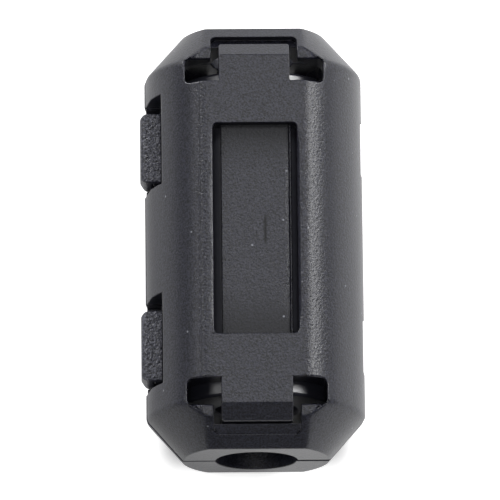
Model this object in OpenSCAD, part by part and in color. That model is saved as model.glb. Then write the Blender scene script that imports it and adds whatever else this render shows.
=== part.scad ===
// Clip-on ferrite bead: a hinged nylon case that snaps round a cable and holds two halves of a ferrite tube.
// X is the width, with the latches at -X and the hinge at +X. Y runs along the cable. Z is up.
// The origin is the middle of the cable hole, on the plane where the two halves meet. Millimetres.

/* [Ferrite halves] */
// Length of the ferrite tube
core_length = 19.14; // [14:0.1:30]
// Outer radius of the ferrite tube
core_radius = 4.7; // [4.2:0.05:6]
// Chamfer ground on the rims of the ferrite tube
core_chamfer = 0.15; // [0.05:0.05:0.4]

/* [Case] */
// Wall of the case round the ferrite
wall = 1.5; // [1.2:0.05:2.2]
// Distance from the end of the ferrite to the end face of the case
end_length = 2.93; // [2.7:0.05:4]
// Length of the cone at each end
taper_length = 2.37; // [2:0.05:2.8]
// Radius of the end face, where the cone stops
end_radius = 4.25; // [4:0.05:4.6]
// Radius of the soft edge where the cone starts
taper_edge_radius = 0.5; // [0.2:0.1:1]
// Thickness of the end wall round the cable hole
end_wall = 1.23; // [1:0.05:1.5]
// Wall of the hollow cone
taper_wall = 1.3; // [1.1:0.05:1.5]
// Radius of the cable hole, in the end walls and through the ferrite
hole_radius = 2.35; // [2.1:0.05:2.45]
// Height of the end bridges above the parting plane
bridge_height = 4.85; // [4.6:0.05:5]
// Length of the flat slope at the end of each bridge
slope_length = 1.6; // [1.3:0.05:1.9]
// Height of the end face's flat edge above the parting plane
end_face_height = 3.2; // [2.9:0.05:3.6]

/* [Window and leaf spring] */
// Width of the window in the flat
window_width = 5; // [4.4:0.1:5.6]
// Length of the window in the flat
window_length = 12.44; // [8:0.1:14]
// Corner radius of the window
window_corner = 0.3; // [0.1:0.1:1]
// Width of the leaf spring across the window
spring_width = 3.84; // [2.5:0.1:4]
// Thickness of the leaf spring
spring_thickness = 0.36; // [0.3:0.02:0.6]
// Depth of the leaf spring below the flat
spring_recess = 0.42; // [0.3:0.02:0.8]

/* [Snap tongues and slots] */
// Width of the tongue that hooks over the end of the ferrite
tongue_width = 4.08; // [3:0.1:4.4]
// Length of the sloping facet at the end of the tongue
tongue_facet = 0.89; // [0.5:0.05:0.9]
// Drop of the sloping facet
tongue_drop = 0.95; // [0.6:0.05:1.2]
// Chamfer on the tongue's free corners
tongue_corner = 0.3; // [0.1:0.05:0.6]
// Distance from the flat to the lower edge of the hook
hook_depth = 2.4; // [1.8:0.1:2.6]
// Half of the slot's full width across the flat
slot_reach = 4; // [3.2:0.1:4.1]
// Length of ferrite that the slot leaves in view
slot_overlap = 0.8; // [0.5:0.05:1.2]
// Distance that the slot runs past the end of the ferrite
slot_past_core = 0.65; // [0.5:0.05:0.8]
// Corner radius of the slot
slot_corner = 0.3; // [0.1:0.1:0.6]
// Gap beside the tongue where it crosses the end bridge
tongue_side_gap = 0.46; // [0.2:0.02:0.6]
// Gap between the tip of the tongue and the end bar
tongue_tip_gap = 0.62; // [0.4:0.02:0.8]
// Width of the end bar beyond the tongue
end_bar = 0.71; // [0.5:0.05:0.9]
// Radius of the low step inside the end wall
collar_radius = 3.3; // [3:0.1:3.4]
// Height and length of the second step inside the end wall
collar_step = 0.22; // [0.1:0.02:0.3]

/* [Latches] */
// Distance between the middles of the two latches
latch_spacing = 11.8; // [9:0.1:15]
// Width of a latch along the case
latch_width = 4.1; // [3:0.1:5]
// Thickness of a latch arm
latch_arm = 0.7; // [0.5:0.05:0.9]
// Height of a latch above the parting plane
latch_height = 1.15; // [1:0.05:1.4]
// Thickness of the barb at the top of a latch
barb_thickness = 0.5; // [0.4:0.05:0.6]
// Length of the barb towards the case
barb_length = 0.44; // [0.3:0.02:0.5]
// Bevel on the outer top edge of a latch
latch_bevel = 0.46; // [0.2:0.02:0.6]
// Chamfer on the outer end corners of a latch
latch_corner = 0.35; // [0.1:0.05:0.5]
// Depth below the parting plane at which the proud part of a latch starts to fall back
latch_proud_depth = 0.4; // [0.2:0.05:0.8]
// Depth below the parting plane at which the latch is flush with the case
latch_flush_depth = 1.75; // [1.5:0.05:1.9]
// Depth below the parting plane of the line on which a latch bends
latch_root_depth = 2.4; // [2.2:0.05:2.6]
// Radius of the rounded root of a latch
latch_root_radius = 0.35; // [0.25:0.05:0.4]
// Depth of the notch in the case behind a latch
notch_depth = 0.93; // [0.8:0.01:1.1]
// Gap between a latch and each end of its notch
notch_end_gap = 0.62; // [0.3:0.02:0.8]
// Depth of the notch below the parting plane
notch_floor_depth = 1; // [0.7:0.05:1.2]

/* [Hinge] */
// Distance between the middles of the two hinge straps
strap_spacing = 11.8; // [8:0.1:15]
// Width of a hinge strap along the case
strap_width = 2.9; // [2:0.1:4]
// Thickness of a hinge strap
strap_thickness = 0.35; // [0.25:0.05:0.5]
// Distance between the two fold lines of a hinge strap
strap_height = 1.6; // [1.2:0.1:2.4]
// How far a hinge strap stands proud of the case
strap_proud = 0.04; // [0:0.01:0.1]

/* [Clearances] */
// Gap all round between the ferrite and the case
core_clearance = 0.1; // [0.05:0.01:0.15]
// Gap between the ferrite and the leaf spring
spring_clearance = 0.02; // [0.01:0.01:0.05]
// Gap between the ferrite's end and the hook
hook_clearance = 0.08; // [0.03:0.01:0.15]
// Gap between the two ground faces of the ferrite halves
core_gap = 0.02; // [0.01:0.01:0.1]
// Gap between the two case halves at the latches
parting_gap_latch = 0.1; // [0.04:0.01:0.2]
// Gap between the two case halves at the hinge
parting_gap_hinge = 0.36; // [0.1:0.01:0.4]
// Running gap round each rounded root and fold line
seat_clearance = 0.05; // [0.03:0.01:0.08]
// Gap beside each latch arm and each strap
side_clearance = 0.12; // [0.08:0.01:0.2]
// Gap between each barb and its catch
catch_clearance = 0.05; // [0.03:0.01:0.1]
// Gap between a latch arm and the wall behind it
arm_clearance = 0.15; // [0.1:0.01:0.2]
// Gap between the tip of a barb and the notch behind it
barb_clearance = 0.09; // [0.05:0.01:0.15]

/* [Hidden] */
$fn = 96;
nylon_black = "#2b2c2f";
ferrite_grey = "#3c3d40";
cut_overlap = 0.2;

cavity_radius = core_radius + core_clearance;
case_radius = cavity_radius + wall;
core_end = core_length / 2;
case_end = core_end + end_length;
taper_start = case_end - taper_length;
slope_start = case_end - slope_length;
hollow_end = case_end - end_wall;
spring_under = core_radius + spring_clearance;
spring_top = spring_under + spring_thickness;
flat_height = spring_top + spring_recess;
beyond = case_radius + latch_arm + latch_height;

slot_inner = core_end - slot_overlap;
slot_outer = core_end + slot_past_core;
stem_end = case_end - end_bar;
stem_half = tongue_width / 2 + tongue_side_gap;
tongue_tip = stem_end - tongue_tip_gap;
tongue_flat_end = tongue_tip - tongue_facet;
hook_face = core_end + hook_clearance;
hook_bottom = flat_height - hook_depth;
flat_end = (slot_inner + slot_outer) / 2;
collar_step_start = hollow_end + collar_step;

notch_back = case_radius - notch_depth;
barb_tip = notch_back + barb_clearance;
arm_inner = barb_tip + barb_length;
arm_outer = arm_inner + latch_arm;
barb_under = latch_height - barb_thickness;
catch_tip = arm_inner - catch_clearance;
catch_top = barb_under - catch_clearance;
notch_half = latch_width / 2 + notch_end_gap;
latch_axis_reach = case_radius - latch_root_radius;
latch_axis_x = sqrt(pow(latch_axis_reach, 2) - pow(latch_root_depth, 2));
latch_axis = [latch_axis_x, -latch_root_depth];
arm_bend = [arm_inner, -latch_proud_depth - barb_thickness / 2];
root_direction = (arm_bend - latch_axis) / norm(arm_bend - latch_axis);
root_inward = [-root_direction[1], root_direction[0]];
root_inner = latch_axis + latch_root_radius * root_inward;

fold_x = case_radius + strap_proud - strap_thickness / 2;
fold_z = strap_height / 2;
strap_seat = strap_thickness / 2 + seat_clearance;

// Turns a shape drawn round Z so that it lies round Y, the cable's direction
module round_y() {
    rotate([-90, 0, 0]) children();
}

// Carries an outline in X and Z along Y, for the given length either side of the middle
module along_y(half_length) {
    rotate([90, 0, 0]) linear_extrude(2 * half_length, center = true) children();
}

// Carries an outline in Y and Z along X, for the given length either side of the middle
module along_x(half_length) {
    rotate([90, 0, 90]) linear_extrude(2 * half_length, center = true) children();
}

// Copies a shape to the front and rear of the case
module both_ends() {
    children();
    mirror([0, 1, 0]) children();
}

// A rectangle in the plan view with rounded corners, from one Y to another
module rounded_slot(half_width, y_from, y_to, corner) {
    for (side = [-1, 1], y = [y_from + corner, y_to - corner])
        translate([side * (half_width - corner), y]) circle(corner);
    translate([-half_width + corner, y_from]) square([2 * (half_width - corner), y_to - y_from]);
    translate([-half_width, y_from + corner]) square([2 * half_width, y_to - y_from - 2 * corner]);
}

// Half profile of one end of the case, as radius and distance along Y, with a soft edge at the cone
module taper_profile() {
    slant = atan2(case_radius - end_radius, taper_length);
    back = taper_edge_radius * tan(slant / 2);
    centre = [case_radius - taper_edge_radius, taper_start - back];
    touch = centre + taper_edge_radius * [cos(slant), sin(slant)];
    polygon([[0, 0], [case_radius, 0], [case_radius, centre[1]], centre, touch,
             [end_radius, case_end], [0, case_end]]);
    intersection() {
        translate(centre) circle(taper_edge_radius);
        square([case_radius, case_end]);
    }
}

// Side outline of the case: the long flat, and at each end the low bridge and the flat slope to the end face
module side_outline() {
    polygon([[-case_end, -beyond], [case_end, -beyond], [case_end, end_face_height],
             [slope_start, bridge_height], [flat_end, bridge_height], [flat_end, flat_height],
             [-flat_end, flat_height], [-flat_end, bridge_height], [-slope_start, bridge_height],
             [-case_end, end_face_height]]);
}

// The solid outer form of one case half, before it is hollowed
module outer_form() {
    intersection() {
        round_y() rotate_extrude() both_ends() taper_profile();
        along_x(beyond) side_outline();
    }
}

// Everything above the plane on which the two case halves meet, which opens a little towards the hinge
module upper_side() {
    along_y(case_end + cut_overlap)
        polygon([[-beyond, parting_gap_latch / 2], [-case_radius, parting_gap_latch / 2],
                 [case_radius, parting_gap_hinge / 2], [beyond, parting_gap_hinge / 2],
                 [beyond, beyond], [-beyond, beyond]]);
}

// The room for the ferrite, the hollow behind each cone and the cable hole
module inside() {
    hollow_rim = end_radius + (case_radius - end_radius) * end_wall / taper_length - taper_wall;
    hollow_full = taper_start + taper_length * (wall - taper_wall) / (case_radius - end_radius);
    both_ends() round_y() rotate_extrude()
        polygon([[0, -cut_overlap], [cavity_radius, -cut_overlap], [cavity_radius, hollow_full],
                 [hollow_rim, hollow_end], [hole_radius, hollow_end], [hole_radius, case_end + cut_overlap],
                 [0, case_end + cut_overlap]]);
}

// Plan of the tongue from the middle of the case to its free tip
module tongue_plan(y_from) {
    half = tongue_width / 2;
    polygon([[-half, y_from], [half, y_from], [half, tongue_tip - tongue_corner],
             [half - tongue_corner, tongue_tip], [-half + tongue_corner, tongue_tip],
             [-half, tongue_tip - tongue_corner]]);
}

// The snap tongue, with a facet on top and a hook in front of the ferrite's end
module tongue() {
    intersection() {
        along_x(tongue_width)
            polygon([[slot_inner - cut_overlap, cavity_radius / 2], [hook_face, cavity_radius / 2],
                     [hook_face, hook_bottom], [tongue_tip, hook_bottom],
                     [tongue_tip, flat_height - tongue_drop], [tongue_flat_end, flat_height],
                     [slot_inner - cut_overlap, flat_height]]);
        linear_extrude(beyond) tongue_plan(slot_inner - cut_overlap);
        difference() {
            translate([-beyond, 0, 0]) cube([2 * beyond, case_end, beyond]);
            round_y() cylinder(r = cavity_radius, h = hook_face);
        }
    }
}

// The slot round the tongue: two arms across the flat and a stem out into the end wall
module tongue_slot() {
    linear_extrude(beyond) difference() {
        rounded_slot(slot_reach, slot_inner, slot_outer, slot_corner);
        tongue_plan(slot_inner - cut_overlap);
    }
    difference() {
        linear_extrude(beyond) rounded_slot(stem_half, slot_outer - 2 * slot_corner, stem_end, slot_corner);
        round_y() translate([0, 0, hollow_end]) cylinder(r = collar_radius, h = end_wall);
        round_y() translate([0, 0, collar_step_start]) cylinder(r = collar_radius + collar_step, h = end_wall);
    }
}

// One case half as both halves share it, drawn as the upper one
module half_shell() {
    difference() {
        intersection() {
            outer_form();
            upper_side();
        }
        inside();
        both_ends() tongue_slot();
        linear_extrude(beyond)
            rounded_slot(window_width / 2, -window_length / 2, window_length / 2, window_corner);
    }
    both_ends() tongue();
    translate([-spring_width / 2, -window_length / 2 - cut_overlap, spring_under])
        cube([spring_width, window_length + 2 * cut_overlap, spring_thickness]);
}

// Pockets in the upper half's hinge edge for the ends of the two straps
module strap_pockets() {
    for (y = [-1, 1] * strap_spacing / 2) translate([fold_x, y, fold_z]) {
        along_y(strap_width / 2 + side_clearance) circle(strap_seat);
        translate([-strap_seat, -strap_width / 2 - side_clearance, -strap_height])
            cube([beyond, strap_width + 2 * side_clearance, strap_height]);
    }
}

// The two notches in the -X edge behind the latches, cut from one height to another
module latch_notches(z_from, z_to) {
    for (y = [-1, 1] * latch_spacing / 2)
        translate([-notch_back - beyond, y - notch_half, z_from]) cube([beyond, 2 * notch_half, z_to - z_from]);
}

// The ledges on the upper half that the barbs hook over
module catches() {
    for (y = [-1, 1] * latch_spacing / 2)
        translate([-catch_tip, y - latch_width / 2, parting_gap_latch / 2])
            cube([catch_tip - notch_back + cut_overlap, latch_width, catch_top - parting_gap_latch / 2]);
}

// Section of a latch, drawn at +X: barb, arm and rounded root
module latch_section() {
    flush_x = sqrt(pow(case_radius, 2) - pow(latch_flush_depth, 2));
    share = (latch_flush_depth + arm_bend[1]) / (arm_bend[1] - root_inner[1]);
    inner_at_flush = arm_bend + share * (root_inner - arm_bend);
    root_rim = latch_axis * beyond / norm(latch_axis);
    polygon([[barb_tip, barb_under], [arm_inner, barb_under], arm_bend, inner_at_flush,
             [flush_x, -latch_flush_depth], [arm_outer, -latch_proud_depth],
             [arm_outer, latch_height - latch_bevel], [arm_outer - latch_bevel, latch_height],
             [barb_tip, latch_height]]);
    intersection() {
        circle(case_radius);
        polygon([inner_at_flush, root_inner, latch_axis, root_rim, [beyond, -latch_flush_depth]]);
    }
    translate(latch_axis) circle(latch_root_radius);
}

// Plan of a latch, drawn at +X, with its outer end corners chamfered
module latch_plan() {
    half = latch_width / 2;
    polygon([[0, -half], [arm_outer - latch_corner, -half], [arm_outer, -half + latch_corner],
             [arm_outer, half - latch_corner], [arm_outer - latch_corner, half], [0, half]]);
}

// One latch at a place along Y
module latch(y) {
    color(nylon_black) translate([0, y, 0]) mirror([1, 0, 0]) intersection() {
        along_y(latch_width) latch_section();
        translate([0, 0, -beyond]) linear_extrude(2 * beyond) latch_plan();
    }
}

// Room in the lower half for the arms and rounded roots of the latches
module latch_pockets() {
    behind = arm_clearance * root_inward;
    root_rim = latch_axis * beyond / norm(latch_axis);
    for (y = [-1, 1] * latch_spacing / 2) translate([0, y, 0]) mirror([1, 0, 0])
        along_y(latch_width / 2 + side_clearance) {
            polygon([[arm_inner, 0] + behind, arm_bend + behind, root_inner + behind, latch_axis, root_rim,
                     [2 * beyond, -latch_flush_depth], [2 * beyond, 0]]);
            translate(latch_axis) circle(latch_root_radius + seat_clearance);
        }
}

// One hinge strap at a place along Y, with its two rounded edges on the fold lines
module hinge_strap(y) {
    color(nylon_black) translate([fold_x, y, 0]) along_y(strap_width / 2) {
        translate([-strap_thickness / 2, -fold_z]) square([strap_thickness, strap_height]);
        for (z = [-fold_z, fold_z]) translate([0, z]) circle(strap_thickness / 2);
    }
}

// One half of the ferrite tube, drawn as the upper one
module half_ferrite() {
    color(ferrite_grey) intersection() {
        both_ends() round_y() rotate_extrude()
            polygon([[hole_radius, 0], [core_radius, 0], [core_radius, core_end - core_chamfer],
                     [core_radius - core_chamfer, core_end], [hole_radius + core_chamfer, core_end],
                     [hole_radius, core_end - core_chamfer]]);
        translate([-beyond, -case_end, core_gap / 2]) cube([2 * beyond, 2 * case_end, beyond]);
    }
}

module upper_shell() {
    color(nylon_black) {
        difference() {
            half_shell();
            strap_pockets();
            latch_notches(0, beyond);
        }
        catches();
    }
}

module lower_shell() {
    color(nylon_black) difference() {
        mirror([0, 0, 1]) half_shell();
        mirror([0, 0, 1]) strap_pockets();
        latch_notches(-notch_floor_depth, beyond);
        latch_pockets();
    }
}

module upper_ferrite() {
    half_ferrite();
}

module lower_ferrite() {
    mirror([0, 0, 1]) half_ferrite();
}

module front_hinge_strap() {
    hinge_strap(-strap_spacing / 2);
}

module rear_hinge_strap() {
    hinge_strap(strap_spacing / 2);
}

module front_latch() {
    latch(-latch_spacing / 2);
}

module rear_latch() {
    latch(latch_spacing / 2);
}

lower_shell();
upper_shell();
lower_ferrite();
upper_ferrite();
front_hinge_strap();
rear_hinge_strap();
front_latch();
rear_latch();
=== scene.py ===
import math

import bmesh
import bpy
import numpy as np
from mathutils import Matrix, Vector
from mathutils.geometry import delaunay_2d_cdt


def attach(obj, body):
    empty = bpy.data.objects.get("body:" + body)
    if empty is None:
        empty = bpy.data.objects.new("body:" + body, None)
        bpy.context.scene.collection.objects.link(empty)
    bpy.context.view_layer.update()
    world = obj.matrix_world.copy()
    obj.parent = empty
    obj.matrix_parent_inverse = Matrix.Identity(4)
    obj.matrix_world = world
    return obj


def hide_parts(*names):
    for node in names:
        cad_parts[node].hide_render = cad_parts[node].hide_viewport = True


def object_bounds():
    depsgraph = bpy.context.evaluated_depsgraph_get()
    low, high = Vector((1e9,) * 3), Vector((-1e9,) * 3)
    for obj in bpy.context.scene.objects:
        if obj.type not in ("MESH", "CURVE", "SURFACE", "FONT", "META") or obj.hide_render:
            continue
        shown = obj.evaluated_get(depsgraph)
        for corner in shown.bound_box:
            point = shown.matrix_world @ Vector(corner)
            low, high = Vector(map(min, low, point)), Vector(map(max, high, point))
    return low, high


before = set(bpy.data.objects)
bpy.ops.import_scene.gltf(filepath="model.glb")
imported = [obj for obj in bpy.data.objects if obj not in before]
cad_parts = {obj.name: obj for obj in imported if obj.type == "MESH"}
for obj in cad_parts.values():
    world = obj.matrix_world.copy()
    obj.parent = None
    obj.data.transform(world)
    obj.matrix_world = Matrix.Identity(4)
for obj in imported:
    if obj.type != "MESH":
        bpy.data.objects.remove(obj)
cad_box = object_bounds()

# --- Case halves -----------------------------------------------------------------------------------
# The two shells of the case, injection moulded in black nylon. Each is a half tube with a cone at
# both ends, a long flat, a window bridged by a leaf spring, and at each end a tongue that snaps over
# the end of the ferrite. Sizes are in millimetres until a finished mesh is scaled to metres.
MM = 0.001
CASE_RADIUS = 6.3
CASE_END = 12.5
END_RADIUS = 4.25
TAPER_LENGTH = 2.37
TAPER_SOFT_RADIUS = 0.5
FLAT_HEIGHT = 5.57
BRIDGE_HEIGHT = 4.85
SLOPE_START = 10.9
SLOPE_LEAD = 0.05
END_FACE_HEIGHT = 3.2
CREASE_BLEND = 0.12

CAVITY_RADIUS = 4.8
HOLLOW_START = 10.361
HOLLOW_END = 11.27
HOLLOW_RIM = 4.014
HOLE_RADIUS = 2.35
PARTING_LATCH = 0.05
PARTING_HINGE = 0.18

WINDOW_HALF_WIDTH = 2.43
WINDOW_HALF_LENGTH = 6.22
SPRING_HALF_WIDTH = 1.96
SPRING_TOP = 5.08
SPRING_UNDER = 4.6
LEDGE_WIDTH = 0.14
LEDGE_TOP = 4.85
WORN_WIDTH = 0.18
WORN_SLOPE = 0.55
SOFT_RIM_WIDTH = 0.286
SOFT_RIM_FALL = 0.22
SOFT_RIM_FADE = 0.9

TONGUE_HALF_WIDTH = 2.04
TONGUE_TIP = 11.17
TONGUE_CORNER = 0.1
TONGUE_FLAT_END = 10.28
TONGUE_DROP = 0.95
HOOK_FACE = 9.65
HOOK_BOTTOM = 3.1
SLOT_HALF_WIDTH = 4.0
SLOT_INNER = 8.77
SLOT_OUTER = 10.22
CUT_CORNER = 0.3
WINDOW_CORNER = 0.26
STEM_HALF_WIDTH = 2.5
STEM_END = 11.79
FRONT_COLLAR = (4.4, 3.85)
REAR_COLLAR = (3.5, 3.2)

PAIR_PLACES = (-5.9, 5.9)
NOTCH_BACK = 5.37
NOTCH_HALF_LENGTH = 2.67
NOTCH_FLOOR = 1.0
CATCH_TIP = 5.85
CATCH_TOP = 0.6
LATCH_HALF_LENGTH = 2.05
LATCH_SIDE_GAP = 0.05
LATCH_SEAT_HEIGHT = 2.54
STRAP_RECESS_BACK = 5.94
STRAP_RECESS_HALF_LENGTH = 1.57
STRAP_RECESS_TOP = 1.025

SLANT = math.atan2(CASE_RADIUS - END_RADIUS, TAPER_LENGTH)
TONGUE_REACH = (TONGUE_HALF_WIDTH + STEM_HALF_WIDTH) / 2
LEDGE_HALF_WIDTH = SPRING_HALF_WIDTH + LEDGE_WIDTH
WEAR_END = WINDOW_HALF_LENGTH - WINDOW_CORNER
TAPER_START = CASE_END - TAPER_LENGTH
SOFT_START = TAPER_START - TAPER_SOFT_RADIUS * math.tan(SLANT / 2)
SOFT_END = SOFT_START + TAPER_SOFT_RADIUS * math.sin(SLANT)
FLIP_Y = np.array([1, -1])
FLIP_X = np.array([-1, 1])

# Room for inexact numbers: a micron between levels, and a nanometre where counts and points are compared.
TINY = 1e-3
SLACK = 1e-6


def outer_radius(y):
    """Radius of the turned outer form: a cylinder, an arc that softens the edge, then a cone."""
    y = np.abs(y)
    arc_rise = np.sqrt(np.maximum(TAPER_SOFT_RADIUS ** 2 - np.clip(y - SOFT_START, 0, None) ** 2, 0))
    cone = CASE_RADIUS - (y - TAPER_START) * math.tan(SLANT)
    return np.where(y < SOFT_START, CASE_RADIUS,
                    np.where(y < SOFT_END, CASE_RADIUS - TAPER_SOFT_RADIUS + arc_rise, cone))


def inner_radius(y):
    """Radius of the room for the ferrite and of the hollow cone beyond it."""
    return np.interp(np.abs(y), [HOLLOW_START, HOLLOW_END], [CAVITY_RADIUS, HOLLOW_RIM])


def parting(x):
    """Height of the face where the halves meet, which rises a little from the latches to the hinge."""
    return np.interp(x, [-CASE_RADIUS, CASE_RADIUS], [PARTING_LATCH, PARTING_HINGE])


def soft_min(a, b):
    """The lower of two heights, less a quarter of the blend where they cross, which rounds the crease."""
    share = np.maximum(CREASE_BLEND - np.abs(a - b), 0) / CREASE_BLEND
    return np.minimum(a, b) - share ** 2 * CREASE_BLEND / 4


def dome(radius, x):
    """Height of a circle of this radius above the parting plane."""
    return np.sqrt(np.maximum(radius ** 2 - x ** 2, 0))


def beside_pair(y, half_length):
    """True within a half length of either place where the latches and the straps sit."""
    return np.abs(np.abs(y) - PAIR_PLACES[1]) < half_length


def end_limit(y):
    """Height of the flat on each end bridge and of the slope from it down to the end face."""
    fall = (BRIDGE_HEIGHT - END_FACE_HEIGHT) / (CASE_END - SLOPE_START)
    return soft_min(np.full(np.shape(y), BRIDGE_HEIGHT), BRIDGE_HEIGHT - (np.abs(y) - SLOPE_START) * fall)


def worn_width(y):
    """Width of the band worn off the spring's edge and off a rim of its window: a mean width, and two
    sines along the length that make it wander."""
    return WORN_WIDTH * (1 + 0.25 * np.sin(1.1 * y) + 0.2 * np.sin(2.9 * y + 1))


BODY, SPRING, LEDGE, TONGUE, COLLAR, CATCH = range(6)


def top_zone(x, y, lower):
    """Which outer surface lies over each point of the plan."""
    wide, along = np.abs(x), np.abs(y)
    zone = np.full(np.shape(x), BODY)
    zone[(x > 0) & (wide < LEDGE_HALF_WIDTH) & (along < WINDOW_HALF_LENGTH)] = LEDGE
    zone[(wide < SPRING_HALF_WIDTH) & (along < WINDOW_HALF_LENGTH)] = SPRING
    zone[(wide < TONGUE_REACH) & (along > SLOT_INNER) & (along < HOLLOW_END)] = TONGUE
    past_side = np.maximum(wide - STEM_HALF_WIDTH + CUT_CORNER, 0)
    past_end = np.maximum(along - STEM_END + CUT_CORNER, 0)
    off_corner = np.hypot(past_side, past_end) < CUT_CORNER
    zone[(wide < STEM_HALF_WIDTH) & (along > HOLLOW_END) & off_corner] = COLLAR
    if not lower:
        zone[(x < -NOTCH_BACK) & beside_pair(y, LATCH_HALF_LENGTH)] = CATCH
    return zone


def top_height(zone, x, y):
    """Height of the outer surface: a tube cut down to its flats, and the lower levels of the cut-outs.
    Beside the spring one rim of the window is worn to a slope, as is the spring's own edge, and the
    other rim falls off with the square of how near the edge is."""
    along = np.abs(y)
    flat = np.where(along < (SLOT_INNER + SLOT_OUTER) / 2, FLAT_HEIGHT, end_limit(y))
    worn = worn_width(y) * (along < WEAR_END)
    worn_rim = np.clip(worn + x + WINDOW_HALF_WIDTH, 0, worn) * (x < 0) * WORN_SLOPE
    fade = np.clip((WEAR_END - along) / SOFT_RIM_FADE, 0, 1)
    near_rim = np.clip(1 - (x - WINDOW_HALF_WIDTH) / SOFT_RIM_WIDTH, 0, 1) * (x > 0)
    rim = worn_rim + near_rim ** 2 * fade * SOFT_RIM_FALL
    edge = np.clip(worn + x - SPRING_HALF_WIDTH, 0, worn) * WORN_SLOPE
    drop = np.interp(along, [TONGUE_FLAT_END, TONGUE_TIP], [0, TONGUE_DROP])
    cup = [HOLLOW_END, STEM_END]
    collar = np.where(y < 0, np.interp(-y, cup, FRONT_COLLAR), np.interp(y, cup, REAR_COLLAR))
    return np.choose(zone, [soft_min(dome(outer_radius(y), x), flat - rim), SPRING_TOP - edge,
                            np.full(np.shape(x), LEDGE_TOP), FLAT_HEIGHT - drop, collar,
                            np.full(np.shape(x), CATCH_TOP)])


ROOM, END_WALL, HOOK, SPRING_BACK, STRAP_RECESS, NOTCH = range(6)


def under_zone(x, y, lower):
    """Which inner surface lies under each point of the plan."""
    wide, along = np.abs(x), np.abs(y)
    zone = np.full(np.shape(x), ROOM)
    zone[along > HOLLOW_END] = END_WALL
    zone[(wide < TONGUE_REACH) & (along > HOOK_FACE) & (along < HOLLOW_END)] = HOOK
    beside_spring = np.where(x > 0, LEDGE_HALF_WIDTH, SPRING_HALF_WIDTH)
    zone[(wide < beside_spring) & (along < WINDOW_HALF_LENGTH)] = SPRING_BACK
    zone[(x > STRAP_RECESS_BACK) & beside_pair(y, STRAP_RECESS_HALF_LENGTH)] = STRAP_RECESS
    if lower:
        zone[(x < -NOTCH_BACK) & beside_pair(y, NOTCH_HALF_LENGTH)] = NOTCH
    return zone


def under_height(zone, x, y):
    """Height of the inner surface: the parting face, or the room or the cable hole where that is higher."""
    levels = [np.full(np.shape(x), level)
              for level in (HOOK_BOTTOM, SPRING_UNDER, STRAP_RECESS_TOP, NOTCH_FLOOR)]
    room = np.maximum(dome(inner_radius(y), x), parting(x))
    hole = np.maximum(dome(HOLE_RADIUS, x), parting(x))
    return np.choose(zone, [room, hole, *levels])


COARSE_STEP = 0.5
EDGE_STEP = 0.4
RECESS_STEP = 0.3
FINE_STEP = 0.25


def dense(corners, step=EDGE_STEP, closed=False):
    """Splits the stretches between corners evenly, so that none is longer than one step."""
    corners = np.asarray(corners, float)
    ends = np.roll(corners, -1, 0) if closed else corners[1:]
    starts = corners if closed else corners[:-1]
    counts = np.maximum(np.ceil(np.hypot(*(ends - starts).T) / step - SLACK), 1).astype(int)
    owner = np.repeat(np.arange(len(counts)), counts)
    share = (np.arange(len(owner)) - np.repeat(np.cumsum(counts) - counts, counts)) / counts[owner]
    path = starts[owner] + (ends - starts)[owner] * share[:, None]
    return np.concatenate([path, starts[:1] if closed else corners[-1:]])


def arc(x, y, radius, start, end):
    """Points along an arc in the plan, every 15 degrees."""
    turn = np.radians(np.linspace(start, end, round(abs(end - start) / 15) + 1))
    return np.stack([x + radius * np.cos(turn), y + radius * np.sin(turn)], 1)


def rim_x(radius, side):
    """Where a circle of this radius meets the parting face, on one side."""
    return side * np.sqrt(radius ** 2 - parting(side * radius) ** 2)


def sines(first, last, step):
    """Sines of even angles in degrees, which space points evenly round an arc seen from above."""
    return np.sin(np.radians(np.arange(first, last + 1, step)))


def hole_stations():
    """Places across the cable hole at even angles, from one corner with the parting face to the other."""
    even = HOLE_RADIUS * sines(-84, 84, 6)
    return np.concatenate([[rim_x(HOLE_RADIUS, -1)], even, [rim_x(HOLE_RADIUS, 1)]])


def across_at(stations, y):
    """A row of points at one Y."""
    return np.stack([stations, np.full(len(stations), y)], 1)


def both_ways(rows):
    """Places along Y from the middle to one end, and the same ones towards the other end."""
    return np.concatenate([-rows[:0:-1], rows])


# Rows of mesh points along the case: even ones, and more where the cone, the slope and the cup begin.
CONE_ROWS = np.linspace(SOFT_START, SOFT_END, 6)
SLOPE_ROWS = SLOPE_START + np.array([-0.12, -0.05, 0, 0.05, 0.12])
END_ROWS = [10.6, HOLLOW_END, 11.6, 11.9, 12.2, CASE_END]
ROWS = both_ways(np.unique(np.round(np.concatenate([
    np.linspace(0, SLOT_OUTER, 22), CONE_ROWS, SLOPE_ROWS, END_ROWS]), 6)))


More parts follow.
